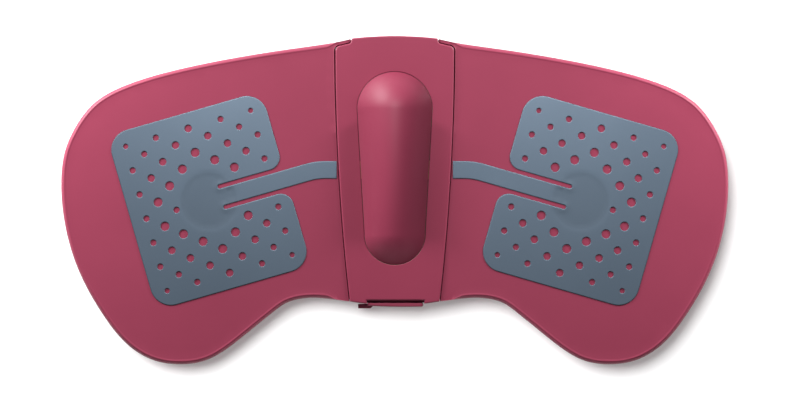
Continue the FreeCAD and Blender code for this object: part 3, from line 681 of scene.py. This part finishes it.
# the dome's skirt goes this far under the panel's face, and its foot stands up this far
DOME_SKIRT = 1.2
DOME_STEP = 0.3


def side_run(shoulder):
    """Right edge of the panel, from its foot corner up to the tip of the shoulder."""
    tip, step, hollow, flat, brow, crook, head = shoulder
    foot, middle = ((x - PANEL_GAP, y) for x, y in SEAM[:2])
    return joined_open(arc(foot, middle, head, 0.8), arc(head, crook, brow, 0.2), straight(brow, flat),
                       arc(flat, hollow, step, 0.15), straight(step, tip))


def foot_at(x):
    """Height in the plan of the panel's slightly curved foot."""
    reach = SEAM[0][0] - PANEL_GAP
    return FOOT_Y + (SEAM[0][1] - FOOT_Y) * (x / reach) ** 2


def panel_outline():
    right = side_run(PANEL_SHOULDER)
    tip = right[-1]
    left = [(-x, y) for x, y in reversed(right)]
    x_low, x_high, y_back = NOTCH
    crown = arc(tip, (0, CROWN_Y), (-tip[0], tip[1]), 0.8)
    foot_left = [(x, foot_at(x)) for x in np.linspace(left[-1][0], x_low, 6)]
    foot_right = [(x, foot_at(x)) for x in np.linspace(x_high, right[0][0], 6)]
    notch = straight((x_low, y_back), (x_high, y_back))
    return joined(right, crown, left, foot_left, notch, foot_right)


def dome_outline(play=0.0):
    """Plan of the dome with the place on its ridge that each point looks to."""
    (top_y, top_r), (foot_y, foot_r) = DOME_TOP, DOME_FOOT
    lean = math.asin((top_r - foot_r) / (top_y - foot_y))
    pairs = []
    for turn in np.linspace(lean, math.pi - lean, 49):
        pairs.append(((top_r - play) * math.cos(turn), top_y + (top_r - play) * math.sin(turn), top_y))
    for share in np.linspace(0, 1, 42)[1:-1]:
        y, radius = top_y + (foot_y - top_y) * share, top_r + (foot_r - top_r) * share - play
        pairs.append((-radius * math.cos(lean), y + radius * math.sin(lean), y))
    for turn in np.linspace(math.pi - lean, 2 * math.pi + lean, 45):
        pairs.append(((foot_r - play) * math.cos(turn), foot_y + (foot_r - play) * math.sin(turn), foot_y))
    for share in np.linspace(1, 0, 42)[1:-1]:
        y, radius = top_y + (foot_y - top_y) * share, top_r + (foot_r - top_r) * share - play
        pairs.append((radius * math.cos(lean), y + radius * math.sin(lean), y))
    return [(x, y) for x, y, _ in pairs], [(0.0, ridge) for _, _, ridge in pairs]


def crest(y):
    """Height of the dome's ridge line above the panel: a long arch, lower towards the foot."""
    fall = (y - DOME_CREST_Y) / 45.0
    return DOME_RISE * (1 - 0.85 * fall * fall)


def dome():
    """Battery dome: low ridge with soft flanks that meets the panel in a crisp foot."""
    mesh = bmesh.new()
    edge, ridge = dome_outline(DOME_PLAY)
    edge, ridge = np.array(edge), np.array(ridge)
    rings = [ring_at(mesh, edge, PANEL_TOP - DOME_SKIRT), ring_at(mesh, edge, PANEL_TOP + 0.22)]
    for turn in np.linspace(0, math.pi / 2, 26):
        share = math.cos(turn)
        rise = (1 - share ** 2) ** 0.9
        places = ridge + (edge - ridge) * share * 0.992
        tops = [PANEL_TOP + DOME_STEP + (crest(y) - DOME_STEP) * rise for _, y in places]
        rings.append([mesh.verts.new((x * MM, y * MM, z * MM)) for (x, y), z in zip(places, tops)])
    for lower, upper in zip(rings, rings[1:]):
        wall(mesh, upper, lower)
    low_points, triangles = fill([tuple(p) for p in edge], [], 3.0)
    verts = rings[0] + ring_at(mesh, low_points[len(rings[0]):], PANEL_TOP - DOME_SKIRT)
    for a, b, c in triangles:
        mesh.faces.new((verts[c], verts[b], verts[a]))
    bmesh.ops.remove_doubles(mesh, verts=mesh.verts, dist=2e-6)
    return finish_mesh("battery_dome", mesh, 40)


def skin_panel():
    """Back panel: fine edge rounding, the stepped shoulders, the flap's notch and the dome's opening."""
    mesh = bmesh.new()
    outline = panel_outline()
    opening, _ = dome_outline()
    low = PANEL_TOP - 1.9
    profile = rounded_edge(0.42, PANEL_TOP, steps=5)
    profile += [(0, low + 0.1), (0.1, low), (0.45, low), (0.45, low + 0.5)]
    loops = [moved(outline, inset) for inset, _ in profile]
    rings = [ring_at(mesh, loop, z) for loop, (_, z) in zip(loops, profile)]
    for upper, lower in zip(rings, rings[1:]):
        wall(mesh, upper, lower)
    steps = [(0.16, 0.0), (0.08, 0.0), (0.02, 0.04), (0.0, 0.12), (0.0, PANEL_PLATE)]
    lips = [moved(opening, -grow) for grow, _ in steps]
    lip_rings = [ring_at(mesh, loop, PANEL_TOP - drop) for loop, (_, drop) in zip(lips, steps)]
    for upper, lower in zip(lip_rings, lip_rings[1:]):
        wall(mesh, lower, upper)
    cap(mesh, rings[0], loops[0], [lip_rings[0]], [lips[0]], 2.5, lambda x, y: PANEL_TOP)
    cap(mesh, rings[-1], loops[-1], [lip_rings[-1]], [lips[-1]], 4.0, lambda x, y: low + 0.5, up=False)
    return finish_mesh("skin_side_panel", mesh)


def rounded_slab(mesh, outline, low, high, radius):
    """Flat plate with rounded top and bottom edges."""
    steps = rounded_edge(radius, high, steps=4) + rounded_edge(radius, low, up=False, steps=4)
    loops = [moved(outline, inset) for inset, _ in steps]
    rings = [ring_at(mesh, loop, z) for loop, (_, z) in zip(loops, steps)]
    for upper, lower in zip(rings, rings[1:]):
        wall(mesh, upper, lower)
    cap(mesh, rings[0], loops[0], [], [], 3.0, lambda x, y: high)
    cap(mesh, rings[-1], loops[-1], [], [], 3.0, lambda x, y: low, up=False)


# the flap's left end, hinge, right end, back and front, and its height
FLAP_LEFT, FLAP_HINGE, FLAP_RIGHT = -8.1, (8.0, -31.4), 8.55
FLAP_BACK, FLAP_FACE = -30.85, -31.98
FLAP_LOW, FLAP_HIGH = 1.40, 7.45
LIP_HALF, LIP_BACK, LIP_FRONT = 4.4, -29.9, -31.1
LIP_SPAN = (2.5, 5.5)
PULL_TAB = [(-11.0, -31.25), (-11.0, -32.5), (-7.3, -32.5), (-6.4, -31.7), (-7.5, -31.7), (-7.5, -31.25)]
TAB_SPAN = (2.60, 5.60)


def polygon(corners):
    """Closed outline with straight sides."""
    return joined(*[straight(a, b) for a, b in zip(corners, corners[1:] + corners[:1])])


def port_flap():
    """USB flap: curved strip in the module's foot, its lip for the opening and the pull tab beside it."""
    mesh = bmesh.new()
    hinge_x = FLAP_HINGE[0]
    low_left, low_right = (FLAP_LEFT, FLAP_FACE + 0.3), (hinge_x, FLAP_FACE + 0.03)
    strip = joined(straight((FLAP_LEFT, FLAP_BACK), low_left), arc(low_left, (0, FLAP_FACE), low_right, 0.8),
                   arc(low_right, (FLAP_RIGHT, FLAP_HINGE[1]), (hinge_x, FLAP_BACK), 0.12),
                   straight((hinge_x, FLAP_BACK), (FLAP_LEFT, FLAP_BACK)))
    lip = polygon([(-LIP_HALF, LIP_FRONT), (LIP_HALF, LIP_FRONT),
                   (LIP_HALF, LIP_BACK), (-LIP_HALF, LIP_BACK)])
    rounded_slab(mesh, strip, FLAP_LOW, FLAP_HIGH, 0.26)
    rounded_slab(mesh, lip, *LIP_SPAN, 0.15)
    rounded_slab(mesh, polygon(PULL_TAB), *TAB_SPAN, 0.12)
    return finish_mesh("port_flap", mesh)


def raised(name, outlines, low, high, body, material):
    """Thin raised marks with small chamfers, on one body."""
    mesh = bmesh.new()
    for outer, holes in outlines:
        steps = [(0.0, high), (0.0, low + 0.03), (0.03, low)]
        loops = [moved(outer, inset) for inset, _ in steps]
        rings = [ring_at(mesh, loop, z) for loop, (_, z) in zip(loops, steps)]
        hole_loops = [[moved(hole, -inset) for inset, _ in steps] for hole in holes]
        hole_rings = [[ring_at(mesh, loop, z) for loop, (_, z) in zip(run, steps)] for run in hole_loops]
        for run in [rings] + hole_rings:
            for upper, lower in zip(run, run[1:]):
                wall(mesh, upper, lower)
        for level, up in ((0, True), (-1, False)):
            cap(mesh, rings[level], loops[level], [run[level] for run in hole_rings],
                [run[level] for run in hole_loops], 5.0, lambda x, y: steps[level][1], up=up)
    obj = finish_mesh(name, mesh)
    paint(obj, material)
    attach(obj, body)
    return obj


def bar(x, y, half_x, half_y):
    """Small bar with rounded ends, along its longer side."""
    radius = min(half_x, half_y)
    run_x, run_y = half_x - radius, half_y - radius
    turn = 0 if half_y > half_x else -math.pi / 2
    ends = []
    for side in (1, -1):
        for k in range(9):
            angle = turn + (0 if side == 1 else math.pi) + math.pi * k / 8
            ends.append((x + side * run_x + radius * math.cos(angle),
                         y + side * run_y + radius * math.sin(angle)))
    return ends


def cross(x, y, half, thick):
    """Plus sign."""
    corners = [(half, -thick), (half, thick), (thick, thick), (thick, half),
               (-thick, half), (-thick, thick), (-half, thick), (-half, -thick),
               (-thick, -thick), (-thick, -half), (thick, -half), (thick, -thick)]
    return [(x + a, y + b) for a, b in corners]


def button_marks():
    """Generic signs on the four keys of the control side."""
    low, high = 0.06, 0.5
    raised("plus_mark", [(cross(0, 33.0, 2.0, 0.32), [])], low, high, "plus_key", mark_white)
    raised("minus_mark", [(bar(0, 9.0, 2.0, 0.32), [])], low, high, "minus_key", mark_white)
    ring = circle(0, 21.0, 1.5), [circle(0, 21.0, 0.95)]
    raised("mode_mark", [ring], low, high, "mode_key", mark_white)
    reach = [math.radians(90 + 38 + 284 * k / 40) for k in range(41)]
    outer = [(1.75 * math.cos(a), -13.0 + 1.75 * math.sin(a)) for a in reach]
    inner = [(1.25 * math.cos(a), -13.0 + 1.25 * math.sin(a)) for a in reversed(reach)]
    raised("power_mark", [(outer + inner, []), (bar(0, -11.75, 0.26, 1.0), [])], low, high, "power_key",
           mark_white)


for piece, slot, node in ((dome(), "case", "dome_cover"), (skin_panel(), "case", "back_panel")):
    paint(piece, case)
    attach(piece, "module")
    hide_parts(node)
flap_piece = port_flap()
paint(flap_piece, flap_rubber)
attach(flap_piece, "flap")
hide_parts("usb_flap")
button_marks()

laminate = grained("board_laminate", (0.02, 0.13, 0.06), 0.4, grain=0.15, grain_size=0.0004)
chip = grained("chip_epoxy", (0.025, 0.025, 0.027), 0.5, grain=0.2)
ferrite = grained("ferrite", (0.05, 0.048, 0.046), 0.65)
can = grained("capacitor_can", (0.62, 0.62, 0.64), 0.35, grain=0.1, metallic=0.9)
foil = grained("battery_foil", (0.58, 0.59, 0.61), 0.32, grain=0.3, grain_size=0.0009, metallic=0.8)
foam = grained("foam", (0.10, 0.10, 0.11), 0.95, grain=0.8, grain_size=0.0006)
gold = grained("contact_metal", (0.75, 0.56, 0.25), 0.3, grain=0.1, metallic=1.0)
jacket = grained("lead_jacket", (0.45, 0.03, 0.03), 0.45, grain=0.1)
plug = grained("plug_plastic", (0.82, 0.80, 0.74), 0.45, grain=0.1)
CAD_FINISH = {
    "main_board": laminate, "board_chips": chip, "tact_switches": chip, "usb_tongue": chip,
    "output_transformer": ferrite, "output_capacitors": can, "battery_cell": foil, "battery_foam": foam,
    "battery_leads": jacket, "battery_plug": plug, "lead_contacts": gold, "status_leds": window,
    "left_lead_strip": gold, "right_lead_strip": gold,
    "front_housing": case, "keypad_overlay": film,
    "power_button": case, "plus_button": case, "minus_button": case, "mode_button": case,
    "light_guide": window, "usb_socket": metal, "case_screws": metal,
    "left_wing_root": silicone, "right_wing_root": silicone,
}
for name, node in NODES.items():
    if not node.hide_render:
        node.data.materials.clear()
        node.data.materials.append(CAD_FINISH.get(name, dark_rubber))

# ---------------------------------------------------------------- stage and light

POWER = {"rake": 11.5, "dome_rake": 13.0, "corner": 3.3, "crown": 0.26, "dome_crown": 0.30, "film": 1.1,
         "floor": 27.0, "floor_wash": 3.2, "world": 0.24}


def make_floor():
    bpy.ops.mesh.primitive_plane_add(size=6.0, location=(0, 0, 0))
    floor = bpy.context.object
    floor.name = "floor"
    material, _, shader = new_material("floor_white")
    shader.inputs["Base Color"].default_value = (0.9, 0.9, 0.9, 1)
    shader.inputs["Roughness"].default_value = 0.9
    shader.inputs["Specular IOR Level"].default_value = 0.1
    floor.data.materials.append(material)
    return floor


def area_light(name, place, target, size, power, colour=(1, 1, 1)):
    data = bpy.data.lights.new(name, "AREA")
    data.shape = "DISK"
    data.size = size
    data.energy = power
    data.color = colour
    light = bpy.data.objects.new(name, data)
    light.location = place
    light.rotation_euler = (Vector(target) - Vector(place)).to_track_quat("-Z", "Y").to_euler()
    light.visible_camera = False
    bpy.context.scene.collection.objects.link(light)
    return light


def point_light(name, place, radius, power):
    data = bpy.data.lights.new(name, "POINT")
    data.shadow_soft_size = radius
    data.energy = power
    light = bpy.data.objects.new(name, data)
    light.location = place
    light.visible_camera = False
    bpy.context.scene.collection.objects.link(light)
    return light


def pass_through(light, piece):
    """The piece casts no shadow in this light."""
    group = bpy.data.collections.new(light.name + "_blockers")
    group.objects.link(piece)
    group.collection_objects[0].light_linking.link_state = "EXCLUDE"
    light.light_linking.blocker_collection = group


def reach_only(light, pieces, exclude=False):
    """The light falls only on the pieces, or on everything but them."""
    group = bpy.data.collections.new(light.name + "_reach")
    for piece in pieces:
        group.objects.link(piece)
    if exclude:
        for member in group.collection_objects:
            member.light_linking.link_state = "EXCLUDE"
    light.light_linking.receiver_collection = group


floor = make_floor()
dome_piece = bpy.data.objects["battery_dome"]
# Low raking light from the upper left, which models the dome and the edges without a hard shadow.
RAKE_FROM = Vector((-0.60, 0.75, 0.31)) * 1.2
for name, reach in (("rake", None), ("dome_rake", [dome_piece])):
    rake = area_light(name, RAKE_FROM, (0, 0, 0), 0.8, POWER[name])
    pass_through(rake, dome_piece)
    reach_only(rake, reach or [floor], exclude=reach is None)
# A pair beyond the upper outer corners brightens the wings outwards.
for side in (-1, 1):
    corner = point_light(f"corner_{side}", (side * 0.20, 0.13, 0.070), 0.03, POWER["corner"])
    reach_only(corner, [floor, dome_piece], exclude=True)
    pass_through(corner, dome_piece)
    sheen = point_light(f"film_{side}", (side * 0.055, 0.085, 0.070), 0.02, POWER["film"])
    reach_only(sheen, [bpy.data.objects[f"{name}_electrode_film"] for name in ("left", "right")])
    pass_through(sheen, dome_piece)
# A nearer light above the upper edge gives the sheen that fades downwards.
for name, reach in (("crown", None), ("dome_crown", [dome_piece])):
    crown = area_light(name, (0, 0.17, 0.26), (0, 0.02, 0), 0.12, POWER[name])
    reach_only(crown, reach or [floor], exclude=reach is None)
    pass_through(crown, dome_piece)
# The floor has its own light, for the soft shadow towards the lower right.
floor_key = area_light("floor_key", Vector((-0.48, 0.66, 0.86)) * 0.8, (0, 0, 0), 1.25, POWER["floor"])
reach_only(floor_key, [floor])
floor_wash = area_light("floor_wash", (0, 0, 1.2), (0, 0, 0), 1.0, POWER["floor_wash"])
floor_wash.data.use_shadow = False
reach_only(floor_wash, [floor])
world = bpy.data.worlds.new("studio")
world.use_nodes = True
world.node_tree.nodes["Background"].inputs["Color"].default_value = (1, 1, 1, 1)
world.node_tree.nodes["Background"].inputs["Strength"].default_value = POWER["world"]
bpy.context.scene.world = world
bpy.context.scene.view_settings.view_transform = "Standard"
